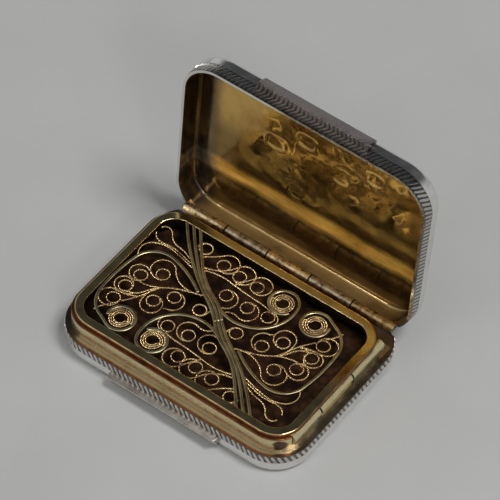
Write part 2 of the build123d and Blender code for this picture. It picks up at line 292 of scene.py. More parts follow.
silverLook = {
    "bright": (0.80, 0.79, 0.765),
    "middle": (0.74, 0.725, 0.695),
    "worn": (0.50, 0.46, 0.41),
    "patchScale": 210,
    "patchStops": (0.27, 0.37, 0.5),
    "roughness": (0.12, 0.26),
    "scratch": 0.0000022,
}


def tinted(look, bright, middle, worn, **others):
    return dict(look, bright=bright, middle=middle, worn=worn, **others)


# a darker, rougher copy of the silver for the base's lip
lipLook = tinted(silverLook, (0.50, 0.47, 0.43), (0.42, 0.39, 0.355), (0.28, 0.25, 0.22),
                 roughness=(0.34, 0.48))
# painted shade: the open lid's lip is a darker copy of the silver
lidLipLook = tinted(silverLook, (0.25, 0.215, 0.205), (0.19, 0.16, 0.155), (0.11, 0.095, 0.09),
                    roughness=(0.20, 0.30))
ledgeLook = tinted(silverLook, (0.42, 0.36, 0.31), (0.37, 0.315, 0.27), (0.24, 0.20, 0.17),
                   patchScale=400, roughness=(0.12, 0.24))
ribLook = tinted(silverLook, (0.66, 0.64, 0.615), (0.54, 0.515, 0.485), (0.34, 0.31, 0.28),
                 patchScale=600, roughness=(0.22, 0.36))
# painted shade: the open lid's ribs are a darker copy of the rib silver
lidRibLook = tinted(ribLook, (0.52, 0.51, 0.49), (0.42, 0.41, 0.39), (0.22, 0.21, 0.195),
                    roughness=(0.10, 0.18))
lidGroove = tinted(silverLook, (0.13, 0.12, 0.11), (0.10, 0.09, 0.08), (0.05, 0.045, 0.04),
                   patchScale=700, roughness=(0.2, 0.3))
# very dark painted shade, for the hinge gallery and parts of the base's ledge
darkPaintedShade = tinted(silverLook, (0.10, 0.08, 0.06), (0.075, 0.058, 0.045), (0.04, 0.03, 0.022),
                   patchScale=600, roughness=(0.3, 0.45))
grooveLook = tinted(silverLook, (0.17, 0.15, 0.135), (0.13, 0.112, 0.10), (0.07, 0.058, 0.05),
                    patchScale=700, roughness=(0.35, 0.5))
gilding = {
    "bright": (0.66, 0.56, 0.30),
    "middle": (0.58, 0.47, 0.24),
    "worn": (0.42, 0.31, 0.17),
    "patchScale": 300,
    "patchStops": (0.3, 0.42, 0.58),
    "roughness": (0.10, 0.20),
    "scratch": 0.0000018,
}
satinGilding = tinted(gilding, (0.75, 0.655, 0.385), (0.70, 0.60, 0.335), (0.46, 0.36, 0.19),
                      patchScale=420, patchStops=(0.22, 0.31, 0.5), roughness=(0.22, 0.32))
# brown painted shade for the gap under the frame's edge, the bezel's rim, the recess behind the bezel and the
# ledge's edge
brownPaintedShade = tinted(gilding, (0.24, 0.10, 0.04), (0.17, 0.07, 0.03), (0.08, 0.035, 0.018),
                      patchScale=900, roughness=(0.3, 0.45))
wireGilding = tinted(gilding, (0.62, 0.47, 0.25), (0.42, 0.285, 0.145), (0.17, 0.105, 0.06),
                     patchScale=420, roughness=(0.18, 0.32))
stripGilding = tinted(gilding, (0.52, 0.45, 0.27), (0.38, 0.325, 0.195), (0.25, 0.20, 0.12),
                      patchScale=420, roughness=(0.25, 0.38))
# a real stain; it takes only its patch scale and roughness from the brown painted shade
stainLook = tinted(brownPaintedShade, (0.12, 0.085, 0.05), (0.08, 0.055, 0.035), (0.045, 0.03, 0.02))
knuckleGilding = tinted(gilding, (0.95, 0.75, 0.44), (0.66, 0.48, 0.25), (0.20, 0.14, 0.085),
                        patchScale=1300, patchStops=(0.34, 0.45, 0.6), roughness=(0.24, 0.42),
                        scratch=0.000006)
greyKnuckle = tinted(knuckleGilding, (0.66, 0.54, 0.38), (0.42, 0.33, 0.215), (0.16, 0.12, 0.085))
darkKnuckle = tinted(knuckleGilding, (0.62, 0.45, 0.22), (0.34, 0.23, 0.10), (0.10, 0.065, 0.035))
seamDark = tinted(knuckleGilding, (0.05, 0.035, 0.02), (0.04, 0.03, 0.02), (0.03, 0.02, 0.012),
                  roughness=(0.5, 0.6))


# Painted reflections and shade in the gilding inside the open lid, in bands along the hinge and at the left
# end, with painted highlights, and the gilding's brushed dullness
lidBrushingAndPaintedLight = {
    "bandEnds": (2.8, 32.8),  # heights between which the bands below run from 0 to 1
    "unevenScale": 170,
    "bandUneven": 1.6,
    "leftUneven": 2.4,
    "leftEnd": (-15.2, -13.4),
    # painted reflections and shade from the hinge to the free edge: a bluish band, dark bands and a bright
    # streak
    "bandPaintedLight": [
        (0.0, (0.68, 0.74, 1.1)), (0.045, (0.62, 0.66, 0.9)), (0.07, (0.20, 0.20, 0.26)),
        (0.22, (0.20, 0.19, 0.20)), (0.26, (1.25, 1.08, 0.7)), (0.31, (1.25, 1.06, 0.65)),
        (0.345, (0.38, 0.38, 0.38)), (0.50, (0.38, 0.38, 0.38)), (0.62, (0.82, 0.82, 0.82)),
        (1.0, (0.85, 0.85, 0.85)),
    ],
    "bandDullness": [(0.0, 0.55), (0.045, 0.45), (0.07, 0.2), (0.22, 0.2), (0.26, 0.85), (0.31, 0.65),
                     (0.345, 0.15), (0.6, 0.04), (1.0, 0.04)],
    # painted shade at the left end
    "leftPaintedShade": [(0.35, (0.11, 0.14, 0.35)), (0.7, (0.34, 0.36, 0.6))],
    "streakScales": (900, 900, 70),
    "brushScales": (120, 120, 800),
    "brushDepth": (0.45, 1.15),
    "crestScale": 150,
    "crestLine": 0.495,  # crests run where the noise has this value
    "crestWidth": 0.045,
    "crestBreaks": 330,
    "crestArea": ((0.46, 0.56), (-9.5, -6.5)),  # they fade in along the bands and from the left
    # colour of the painted highlights
    "crestHighlightColour": (1.25, 1.12, 0.8),
    "crestDullness": 0.7,
}


def lidBand(tree, coords):  # from the hinge to the free edge, with ragged steps
    ragged = addUneven(tree, coords, lidBrushingAndPaintedLight["unevenScale"], 4, lidBrushingAndPaintedLight["bandUneven"])
    low, high = lidBrushingAndPaintedLight["bandEnds"]
    height = addMath(tree, "ADD", addAlong(tree, coords, (0, 0, 1)), ragged)
    return addRange(tree, height, low * mm, high * mm, 0, 1)


def lidLeftEnd(tree, coords):  # 1 on the lid's left wall and beside it
    ragged = addUneven(tree, coords, lidBrushingAndPaintedLight["unevenScale"], 4, lidBrushingAndPaintedLight["leftUneven"])
    left, right = lidBrushingAndPaintedLight["leftEnd"]
    side = addMath(tree, "ADD", addAlong(tree, coords, (1, 0, 0)), ragged)
    return addRange(tree, side, left * mm, right * mm, 1, 0)


def lidPaintedHighlights(tree, coords):  # painted highlights: bright crest lines towards the free edge
    waves = addNoise(tree, coords["Object"], lidBrushingAndPaintedLight["crestScale"], 2, 0.5, 1.1)
    line, width = lidBrushingAndPaintedLight["crestLine"], lidBrushingAndPaintedLight["crestWidth"]
    crest = addMath(tree, "MULTIPLY", addRange(tree, waves, line - width, line, 0, 1),
                    addRange(tree, waves, line, line + width, 1, 0))
    gaps = addNoise(tree, coords["Object"], lidBrushingAndPaintedLight["crestBreaks"], 2)
    breaks = addRange(tree, gaps, 0.42, 0.6, 0.15, 1)
    (bandStart, bandFull), (leftStart, leftFull) = lidBrushingAndPaintedLight["crestArea"]
    area = addMath(tree, "MULTIPLY", addRange(tree, lidBand(tree, coords), bandStart, bandFull, 0, 1),
                   addRange(tree, addAlong(tree, coords, (1, 0, 0)), leftStart * mm, leftFull * mm, 0, 1))
    return addMath(tree, "MULTIPLY", addMath(tree, "MULTIPLY", crest, breaks), area)


def lidPaintedLight(tree, coords):  # painted reflections, shade and highlights that multiply the gilding's colour
    bands = addRamp(tree, lidBand(tree, coords), lidBrushingAndPaintedLight["bandPaintedLight"])
    upright = addMapping(tree, coords["Object"], lidBrushingAndPaintedLight["streakScales"])
    streaks = addRamp(tree, addNoise(tree, upright, 1, 3), lidBrushingAndPaintedLight["leftPaintedShade"])
    shade = addMix(tree, lidLeftEnd(tree, coords), bands, streaks)
    return addMix(tree, lidPaintedHighlights(tree, coords), shade, lidBrushingAndPaintedLight["crestHighlightColour"])


def lidDullness(tree, coords):  # how far it has lost its mirror: most in the painted bright streak and along the painted highlights, which then show as diffuse light
    stops = [(position, (value, value, value)) for position, value in lidBrushingAndPaintedLight["bandDullness"]]
    bands = addRamp(tree, lidBand(tree, coords), stops)
    brush = addMapping(tree, coords["Object"], lidBrushingAndPaintedLight["brushScales"])
    brushed = addRange(tree, addNoise(tree, brush, 1, 4), 0.3, 0.7, *lidBrushingAndPaintedLight["brushDepth"])
    crests = addMath(tree, "MULTIPLY", lidPaintedHighlights(tree, coords), lidBrushingAndPaintedLight["crestDullness"])
    return addMath(tree, "ADD", addMath(tree, "MULTIPLY", bands, brushed), crests)


# its colour is multiplied by the painted reflections, shade and highlights
lidGilding = tinted(gilding, (0.80, 0.52, 0.16), (0.66, 0.40, 0.11), (0.34, 0.19, 0.06),
                    patchScale=150, roughness=(0.07, 0.18), scratch=0.0000012,
                    shade=lidPaintedLight, dull=lidDullness)


grain = {
    "wearScale": 520,
    "wearSteps": (0.35, 0.65),
    "lengthwise": ((300, 6000, 6000), (0.2, 0.1, 0.5)),  # scales and turn of the fine scratches
    "across": ((5200, 350, 5200), (0.1, 0.3, -0.4)),
}


def metalColour(tree, coords, look):
    patches = addNoise(tree, coords["Object"], look["patchScale"], 5, 0.6, 0.4)
    colours = (look["worn"], look["middle"], look["bright"])
    colour = addRamp(tree, patches, list(zip(look["patchStops"], colours)))
    if "shade" in look:
        colour = addMix(tree, 1.0, colour, look["shade"](tree, coords), "MULTIPLY")
    return colour


def scratches(tree, coords):
    lengthwise = addMapping(tree, coords["Object"], *grain["lengthwise"])
    across = addMapping(tree, coords["Object"], *grain["across"])
    return addMath(tree, "ADD", addNoise(tree, lengthwise, 1, 2), addNoise(tree, across, 1, 2))


def makeMetal(name, look, layers=()):  # each layer is a mask and the finish that it shows
    material, tree, shader, coords = newMaterial(name)
    shader.inputs["Metallic"].default_value = 1.0
    colour = metalColour(tree, coords, look)
    if "dull" in look:
        tree.links.new(addMath(tree, "SUBTRACT", 1.0, look["dull"](tree, coords)), shader.inputs["Metallic"])
    wear = addNoise(tree, coords["Object"], grain["wearScale"], 4)
    roughness = addRange(tree, wear, *grain["wearSteps"], *look["roughness"])
    for mask, layer in layers:
        part = mask(tree, coords)
        colour = addMix(tree, part, colour, metalColour(tree, coords, layer))
        layerRoughness = addRange(tree, wear, *grain["wearSteps"], *layer["roughness"])
        step = addMath(tree, "MULTIPLY", part, addMath(tree, "SUBTRACT", layerRoughness, roughness))
        roughness = addMath(tree, "ADD", roughness, step)
        if "dull" in layer:
            dulled = addMath(tree, "MULTIPLY", part, layer["dull"](tree, coords))
            tree.links.new(addMath(tree, "SUBTRACT", 1.0, dulled), shader.inputs["Metallic"])
    tree.links.new(colour, shader.inputs["Base Color"])
    tree.links.new(roughness, shader.inputs["Roughness"])
    addBump(tree, shader, scratches(tree, coords), look["scratch"])
    return material


def makeSpongeFinish(name, look):
    material, tree, shader, coords = newMaterial(name)
    pores = tree.nodes.new("ShaderNodeTexVoronoi")
    pores.inputs["Scale"].default_value = look["poreScale"]
    tree.links.new(coords["Object"], pores.inputs["Vector"])
    stain = addNoise(tree, coords["Object"], look["stainScale"], 4)
    base = addRamp(tree, stain, [(0.35, look["dark"]), (0.65, look["light"])])
    shade = addRamp(tree, pores.outputs["Distance"], [(0.1, (1, 1, 1)), (0.75, (0.3, 0.3, 0.3))])
    tree.links.new(addMix(tree, 1.0, base, shade, "MULTIPLY"), shader.inputs["Base Color"])
    shader.inputs["Roughness"].default_value = look["roughness"]
    shader.inputs["Specular IOR Level"].default_value = look["sheen"]
    addBump(tree, shader, pores.outputs["Distance"], look["poreDepth"] * mm)
    return material


def makeFloor(spec):
    bm = bmesh.new()
    bmesh.ops.create_grid(bm, x_segments=8, y_segments=8, size=spec["floorSize"] / 2 * mm)
    floor = meshObject("floor", bm)
    material, tree, shader, coords = newMaterial("paleTable")
    shade = addNoise(tree, coords["Object"], spec["floorPatches"], 4)
    pale = spec["floorColour"]
    dim = tuple(value * spec["floorDim"] for value in pale)
    tree.links.new(addRamp(tree, shade, [(0.35, dim), (0.65, pale)]), shader.inputs["Base Color"])
    shader.inputs["Roughness"].default_value = spec["floorRoughness"]
    shader.inputs["Specular IOR Level"].default_value = spec["floorSheen"]
    floor.data.materials.append(material)


def makeSky(spec):
    world = bpy.data.worlds.new("studioSky")
    bpy.context.scene.world = world
    world.use_nodes = True
    tree = world.node_tree
    direction = tree.nodes.new("ShaderNodeTexCoord").outputs["Generated"]
    parts = tree.nodes.new("ShaderNodeSeparateXYZ")
    tree.links.new(direction, parts.inputs["Vector"])
    height = addRange(tree, parts.outputs["Z"], -1, 1, 0, 1)
    low, high = spec["skySteps"]
    colour = addRamp(tree, height, [(low, spec["wallSky"]), (high, spec["ceilingSky"])])
    for patch in spec["skyPatches"]:
        facing = addVectorMath(tree, "DOT_PRODUCT", direction, Vector(patch["towards"]).normalized())
        edges = [cos(radians(patch[name])) for name in ("outer", "inner")]
        colour = addMix(tree, addRange(tree, facing, *edges, 0, 1), colour, patch["colour"])
    tree.links.new(colour, tree.nodes["Background"].inputs["Color"])


makeCamera(photoCamera)
makeFloor(studio)
makeSky(studio)
for lampName, lampSpec in studio["lamps"].items():
    makeLamp(lampName, lampSpec)
bpy.context.scene.view_settings.view_transform = "Standard"
print("camera, table and lamps ready")

# Where the lid turns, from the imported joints
lidJoint = next(joint for joint in frame["joints"] if joint["name"] == "lid_hinge")
hingePlace = Vector(lidJoint["pos_m"])
lidAngle = radians(lidJoint["range_deg"][0])
openLid = Matrix.Translation(hingePlace) @ Matrix.Rotation(lidAngle, 4, "X") @ Matrix.Translation(-hingePlace)
lidUp = openLid.to_3x3() @ Vector((0, 0, 1))
lidCentre = openLid @ vectorMm((0, 0, 4.2))  # a point in its hollow

# Darker lines at the seams between the hinges' knuckles
seams = {
    "gap": 0.08,
    "lidReach": 0.16,
    "grilleReach": 0.2,
    "alone": 100,  # seams this far apart show only once
}
knuckleLow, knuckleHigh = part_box("lid_knuckle_centre")
knucklePitch = (knuckleHigh[0] - knuckleLow[0]) / mm + seams["gap"]
lidSeams = seamMask((1, 0, 0), knucklePitch / 2, knucklePitch, seams["lidReach"])
grilleLow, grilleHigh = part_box("grille_knuckle_centre")
frontSeam = seamMask((0, 1, 0), seams["gap"] / 2 - grilleLow[1] / mm, seams["alone"], seams["grilleReach"])
rearSeam = seamMask((0, 1, 0), -seams["gap"] / 2 - grilleHigh[1] / mm, seams["alone"], seams["grilleReach"])

# The milling: slanted ribs round both bands
ribs = {
    "basePitch": 0.82,
    "lidPitch": 0.66,
    "widthShare": 0.52,  # of the pitch
    "baseProud": 0.10,
    "lidProud": 0.05,
    "soften": 0.2,  # bevel of a rib, as a share of its width
    "slant": 28.0,
    "baseFoot": 1.98,  # the base's ribs start this high
    "lidHead": 5.2,  # and the closed lid's end this high
    "rimEdge": 0.1,  # from the height of the hinge to a rim
    "backRim": 2.4,  # height of the base's rim behind the hinge
    "tubeReach": 0.87,  # the rims step down this far before the hinge's middle
    "margin": 0.08,  # bare metal left towards the rim
    "cornerRadius": 5.4,
}
# Where painted shade goes: the gap under the frame's edge, the bezel's rim, behind the bezel and on the
# base's ledge; also a real stain on the bezel
stainAndPaintedShade = {
    "frameEdge": (0.42, 0.48),  # heights over the frame's foot
    "bezelRim": (-0.12, -0.2),  # heights over the bezel's top
    "bezelBack": (-0.5, -0.3),  # distances past the bezel's back
    "stainPlace": (-1.3, 1.1, -1.3),  # from the bezel's front right corner at the frame's foot
    "stainReach": (0.8, 1.15),
    "ledgeRim": 0.5,
    "ledgeRight": (-0.8, -0.65),
    "ledgeCorner": 1.6,
    "cornerReach": (2.2, 2.9),
    "ledgeBack": (-0.5, -0.2),
    "step": 0.05,
}
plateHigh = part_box("base_plate")[1]
halfLength, halfDepth = plateHigh[0] / mm, plateHigh[1] / mm
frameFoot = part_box("grille_frame")[0][2] / mm
bezelLow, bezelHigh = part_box("bezel")
bezelTop = bezelHigh[2] / mm
bezelBack = bezelHigh[1] / mm
hingeHeight = hingePlace.z / mm
stainPlace = Vector((bezelHigh[0] / mm, bezelLow[1] / mm, frameFoot)) + Vector(stainAndPaintedShade["stainPlace"])
ledgeCorner = (stainAndPaintedShade["ledgeCorner"] - halfLength, stainAndPaintedShade["ledgeCorner"] - halfDepth, hingeHeight)


def shifted(start, steps):
    return [start + step for step in steps]


silver = makeMetal("polishedSilver", silverLook)
lipSilver = makeMetal("wornLip", lipLook)
# painted shade: darker silver on the open lid's lip
lidLipSilver = makeMetal("paintedShadeLidLip", lidLipLook)
ribSilver = makeMetal("milledRibs", ribLook)
# painted shade: darker silver on the open lid's ribs
lidRibSilver = makeMetal("paintedShadeLidRibs", lidRibLook)
gilt = makeMetal("gildedPiece", gilding)
# painted shade along the frame's lower edge, over the gap to the bezel
frameGilt = makeMetal("gildedFrame", gilding, [
    (heightMask(*shifted(frameFoot, stainAndPaintedShade["frameEdge"])), brownPaintedShade),
])
# painted shade on the bezel's rim under the frame and in the recess behind the bezel; the spot is a real
# stain
satinGilt = makeMetal("satinBezel", satinGilding, [
    (heightMask(*shifted(bezelTop, stainAndPaintedShade["bezelRim"])), brownPaintedShade),
    (beyondMask((0, 1, 0), *shifted(bezelBack, stainAndPaintedShade["bezelBack"])), brownPaintedShade),
    (spotMask(stainPlace, *stainAndPaintedShade["stainReach"]), stainLook),
])
# the whole hinge gallery painted dark as shade under the hinge
galleryMetal = makeMetal("darkGallery", darkPaintedShade)
wireGilt = makeMetal("gildedWire", wireGilding)
stripGilt = makeMetal("gildedStrip", stripGilding)
liningGilt = makeMetal("gildedLid", lidGilding)
lidSilver = makeMetal("lidSilver", silverLook, [(hollowMask(lidCentre), lidGilding)])
# painted shade along the ledge's outer edge, at the right end under the grille's hinge tube, at the front
# left corner and behind the bezel; tarnish in the grooves
baseMilled = makeMetal("milledBase", ledgeLook, [
    (rimMask(halfLength, halfDepth, ribs["cornerRadius"], stainAndPaintedShade["ledgeRim"]), brownPaintedShade),
    (beyondMask((1, 0, 0), *shifted(halfLength, stainAndPaintedShade["ledgeRight"])), darkPaintedShade),
    (spotMask(ledgeCorner, *stainAndPaintedShade["cornerReach"]), darkPaintedShade),
    (beyondMask((0, 1, 0), *shifted(bezelBack, stainAndPaintedShade["ledgeBack"])), darkPaintedShade),
    (sideMask((0, 0, 1)), grooveLook),
    (heightMask(ribs["baseFoot"] - stainAndPaintedShade["step"], ribs["baseFoot"]), silverLook),
])
plainPart = hingePlace.dot(lidUp) / mm + ribs["lidHead"] - hingeHeight
lidMilled = makeMetal("milledLid", silverLook, [
    (sideMask(lidUp), lidGroove),
    (beyondMask(lidUp, plainPart, plainPart + stainAndPaintedShade["step"]), silverLook),
    (hollowMask(lidCentre), lidGilding),
])
lidKnuckle = makeMetal("gildedKnuckle", knuckleGilding, [(lidSeams, seamDark)])
lastKnuckle = makeMetal("darkKnuckle", darkKnuckle, [(lidSeams, seamDark)])
baseKnuckle = makeMetal("wornKnuckle", greyKnuckle, [(lidSeams, seamDark)])
grilleKnuckle = makeMetal("gildedTube", satinGilding, [(frontSeam, seamDark), (rearSeam, seamDark)])
finishes = {
    "base_band": baseMilled,
    "base_thumb_lip": lipSilver,
    "lid_thumb_lip": lidLipSilver,
    "bezel": satinGilt,
    "grille_frame": frameGilt,
    "hinge_gallery": galleryMetal,
    "lid_plate": lidSilver,
    "lid_band": lidMilled,
    "lid_knuckle_left": lidKnuckle,
    "lid_knuckle_centre": lidKnuckle,
    "lid_knuckle_right": lastKnuckle,
    "base_knuckle_left": baseKnuckle,
    "base_knuckle_right": baseKnuckle,
    "grille_knuckle_front": grilleKnuckle,
    "grille_knuckle_centre": grilleKnuckle,
    "grille_knuckle_rear": grilleKnuckle,
}
for nodeName, nodeObject in nodes.items():
    nodeObject.data.materials.clear()
    plain = silver if nodeName.startswith(("base", "lid", "hinge")) else gilt
    nodeObject.data.materials.append(finishes.get(nodeName, plain))
print("metal finishes on the cad nodes")


# Filigree: the same layout of tangent arcs as the cad, in shares of the opening's half length and depth
filigree = {
    "frameStrip": 1.3,
    "centreShare": (-0.041, -0.055),
    "stripWidth": 0.42,
    "stripRound": 0.11,
    "roundSteps": 3,
    "stripStep": 0.16,  # length of a straight piece of a bent strip
    "stemDrop": 0.02,  # the stem's strips lie this much lower than the frame
    "scrollDrop": 0.04,  # and the scrolls this much
    "stripHeight": 0.5,
    "wireSink": 0.08,
    "wireHeight": 0.34,
    "strandRadius": 0.068,
    "strandReach": 0.06,  # from the wire's middle line to a strand's
    "twistPitch": 0.86,
    "stepsPerTwist": 11,
    "ringShare": 0.088,
    "ringTurn": 335.0,
    "coilInnerRadius": 0.82,
    "coilPitch": 0.3,
    "eyeFillShare": 0.83,
    "solderGap": 0.02,
    "seat": 0.4,  # how far strips and wires reach into the frame
}
stemLayout = {
    "start": (-0.765, 1.12),
    "heading": -52.0,
    "points": [(-0.45, 0.55), (-0.2, 0.25), (0.0, 0.0)],
    "spread": [0.085, 0.055, 0.046, 0.045],
}
upperScroll = {
    "start": (-0.11, 0.225),
    "heading": -38.0,
    "points": [(0.08, 0.115), (0.36, 0.33)],
    "eye": (0.3, 0.742),
    "meets": 10.0,
    "eyeTurn": 320.0,
}
rightScroll = {
    "start": (0.3, -0.22),
    "heading": -36.0,
    "points": [(0.66, -0.47), (0.91, -0.2), (0.93, 0.5), (0.78, 0.82)],
    "eye": (0.63, 0.71),
    "meets": 60.0,
    "eyeTurn": 320.0,
}
# Each curl: ring centre, angle at which the bow leaves the ring, bow radius in rings, bow turn, way, foot
upperCurls = [
    (-0.515, 0.86, 90, 1.3, 45, 1, -0.585, 0.83),
    (-0.301, 0.777, 235, 1.7, 265, 1, -0.505, 0.72),
    (-0.133, 0.752, 235, 1.7, 280, 1, -0.43, 0.6),
    (0.04, 0.748, 235, 1.65, 275, 1, -0.12, 0.61),
    (-0.105, 0.405, 125, 1.7, 265, -1, -0.185, 0.272),
    (0.1, 0.405, 125, 1.7, 235, -1, -0.02, 0.16),
    (0.285, 0.442, 140, 1.35, 150, -1, 0.285, 0.215),
]
rightCurls = [
    (0.183, -0.01, 100, 1.25, 75, 1, 0.1, -0.085),
    (0.417, 0.025, 290, 1.7, 190, -1, 0.425, 0.265),
    (0.529, 0.23, 280, 1.65, 275, -1, 0.585, 0.04),
    (0.798, 0.495, 200, 1.6, 290, -1, 0.66, 0.3),
    (0.796, 0.25, 160, 1.4, 280, 1, 0.7, 0.3),
    (0.765, -0.005, 150, 1.5, 250, -1, 0.69, -0.1),
    (0.629, -0.186, 125, 1.85, 270, -1, 0.25, -0.23),
]
# Each spine: start, heading and the points that it passes
upperSpines = [((-0.415, 0.55), 24, [(-0.16, 0.61), (0.14, 0.57), (0.28, 0.53)])]
rightSpines = [
    ((0.34, -0.17), 12, [(0.53, -0.03), (0.7, 0.085), (0.79, 0.06)]),
    ((0.56, 0.0), 62, [(0.62, 0.2), (0.73, 0.48)]),
    ((0.58, 0.03), 50, [(0.64, 0.18), (0.76, 0.31)]),
    ((0.77, 0.6), 40, [(0.85, 0.8)]),
]
cornerSpines = [
    ((-0.49, 0.5), 166, [(-0.6, 0.545), (-0.74, 0.585), (-0.88, 0.54), (-0.94, 0.36), (-0.9, 0.24)]),
    ((-0.53, 0.55), 166, [(-0.66, 0.6), (-0.8, 0.605), (-0.88, 0.61), (-0.935, 0.7)]),
    ((-0.56, 0.6), 150, [(-0.7, 0.67), (-0.82, 0.79), (-0.88, 0.85), (-0.932, 0.79)]),
]

frameLow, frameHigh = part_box("grille_frame")
frameTop = frameHigh[2] / mm
openingHalfLength = (frameHigh[0] - frameLow[0]) / 2 / mm - filigree["frameStrip"]
openingHalfDepth = (frameHigh[1] - frameLow[1]) / 2 / mm - filigree["frameStrip"]
patternX = (frameHigh[0] + frameLow[0]) / 2 / mm + filigree["centreShare"][0] * openingHalfLength
patternY = (frameHigh[1] + frameLow[1]) / 2 / mm + filigree["centreShare"][1] * openingHalfDepth
ringRadius = filigree["ringShare"] * openingHalfDepth
eyeStep = Vector(((rightScroll["eye"][0] - upperScroll["eye"][0]) * openingHalfLength,
                  (rightScroll["eye"][1] - upperScroll["eye"][1]) * openingHalfDepth))
eyeRoom = eyeStep.length - filigree["stripWidth"] - 2 * filigree["solderGap"]
eyeRadius = filigree["eyeFillShare"] * eyeRoom / 2


def place(share):
    return patternX + share[0] * openingHalfLength, patternY + share[1] * openingHalfDepth


def bends(start, heading, points):  # tangent arcs (centre, radius, start angle, turn) through the points
    x, y = start
    way = radians(heading)
    arcs = []
    for px, py in points:
        lean = (math.atan2(py - y, px - x) - way + pi) % (2 * pi) - pi
        radius = math.hypot(px - x, py - y) / (2 * sin(lean))
        centre = (x - radius * sin(way), y + radius * cos(way))
        begin = math.degrees(math.atan2(y - centre[1], x - centre[0]))
        arcs.append((centre, abs(radius), begin, math.degrees(2 * lean)))
        way += 2 * lean
        x, y = px, py
    return arcs


def spine(row):
    start, heading, points = row
    return bends(place(start), heading, [place(p) for p in points])


def curl(row):
    xShare, yShare, leaves, bowRadii, bowTurn, way, footX, footY = row
    x, y = place((xShare, yShare))
    bow = bowRadii * ringRadius
    angle = radians(leaves)
    bowX, bowY = x + (ringRadius - bow) * cos(angle), y + (ringRadius - bow) * sin(angle)
    last = leaves + way * bowTurn
    end = (bowX + bow * cos(radians(last)), bowY + bow * sin(radians(last)))
    foot = bends(end, last + way * 90, [place((footX, footY))])
    ring = ((x, y), ringRadius, leaves - way * filigree["ringTurn"], way * filigree["ringTurn"])
    return [ring, ((bowX, bowY), bow, leaves, way * bowTurn)] + foot


def scroll(layout):
    x, y = place(layout["eye"])
    angle = layout["meets"]
    meeting = (x + eyeRadius * cos(radians(angle)), y + eyeRadius * sin(radians(angle)))
    arcs = bends(place(layout["start"]), layout["heading"], [place(p) for p in layout["points"]] + [meeting])
    radius = eyeRadius
    part = layout["eyeTurn"] / 3
    for k in range(3):
        arcs.append(((x, y), radius, angle, part))
        angle += part
        x += filigree["coilPitch"] / 3 * cos(radians(angle))
        y += filigree["coilPitch"] / 3 * sin(radians(angle))
        radius -= filigree["coilPitch"] / 3
    return arcs


def coil(share):
    pitch = filigree["coilPitch"]
    room = (eyeRadius - pitch - filigree["stripWidth"] / 2 - filigree["strandRadius"] * 2
            - filigree["coilInnerRadius"])
    x, y = place(share)
    radius = filigree["coilInnerRadius"]
    arcs = []
    for k in range(2 + int(room / (pitch / 2))):
        arcs.append(((x, y), radius, 180 * (k % 2), 180))
        x += pitch / 2 if k % 2 else -pitch / 2
        radius += pitch / 2
    return arcs


def stem(side):  # side -1, 0 or 1 of the sheaf, from the back frame edge to the middle
    points = [place(stemLayout["start"])] + [place(p) for p in stemLayout["points"]]
    moved = []
    for k, (x, y) in enumerate(points):
        before = points[max(k - 1, 0)]
        after = points[min(k + 1, len(points) - 1)]
        way = math.atan2(after[1] - before[1], after[0] - before[0])
        off = side * stemLayout["spread"][k] * openingHalfDepth
        moved.append((x - off * sin(way), y + off * cos(way)))
    return bends(moved[0], stemLayout["heading"], moved[1:])


def halfTurned(arcs):
    return [((2 * patternX - x, 2 * patternY - y), radius, start + 180, turn)
            for (x, y), radius, start, turn in arcs]


def followArcs(arcs, step):  # points and sideways directions along a row of arcs
    points = []
    for number, ((x, y), radius, start, turn) in enumerate(arcs):
        count = max(2, math.ceil(radius * radians(abs(turn)) / step))
        for k in range(0 if number == 0 else 1, count + 1):
            angle = radians(start + turn * k / count)
            side = 1 if turn > 0 else -1
            points.append((x + radius * cos(angle), y + radius * sin(angle),
                           -side * cos(angle), -side * sin(angle)))
    return points


def newCurve(name):
    curve = bpy.data.curves.new(name, "CURVE")
    curve.dimensions = "3D"
    curve.use_fill_caps = True
    return curve


def addSpline(curve, points):
    spline = curve.splines.new("POLY")
    spline.points.add(len(points) - 1)
    for point, spot in zip(spline.points, points):
        point.co = (*(value * mm for value in spot), 1)


def curveToMesh(curve, name):
    holder = newObject(name + "Holder", curve)
    mesh = bpy.data.meshes.new_from_object(holder.evaluated_get(bpy.context.evaluated_depsgraph_get()))
    bpy.data.objects.remove(holder)
    return newObject(name, mesh)


def smooth(piece, angle=None):
    for polygon in piece.data.polygons:
        polygon.use_smooth = True
    if angle:
        piece.data.set_sharp_from_angle(angle=radians(angle))


def makeStrip(name, wires, drop):
    curve = newCurve(name)
    curve.twist_mode = "Z_UP"
    half = filigree["stripWidth"] / 2 * mm
    tall = filigree["stripHeight"] / 2 * mm
    corner = filigree["stripRound"] * mm
    profile = bpy.data.curves.new("stripProfile", "CURVE")
    profile.dimensions = "2D"
    outline = profile.splines.new("POLY")
    corners = []
    for sx, sy, first in ((1, 1, 0), (-1, 1, 90), (-1, -1, 180), (1, -1, 270)):
        for k in range(filigree["roundSteps"] + 1):
            angle = radians(first + 90 / filigree["roundSteps"] * k)
            corners.append((sx * (half - corner) + corner * cos(angle),
                            sy * (tall - corner) + corner * sin(angle)))
    outline.points.add(len(corners) - 1)
    for point, (x, y) in zip(outline.points, corners):
        point.co = (x, y, 0, 1)
    outline.use_cyclic_u = True
    profileObject = newObject("stripProfile", profile)
    curve.bevel_mode = "OBJECT"
    curve.bevel_object = profileObject
    middle = frameTop - filigree["stripHeight"] / 2 - drop
    for wire in wires:
        addSpline(curve, [(x, y, middle) for x, y, _, _ in followArcs(wire, filigree["stripStep"])])
    piece = curveToMesh(curve, name)
    bpy.data.objects.remove(profileObject)
    smooth(piece, 50)
    return piece


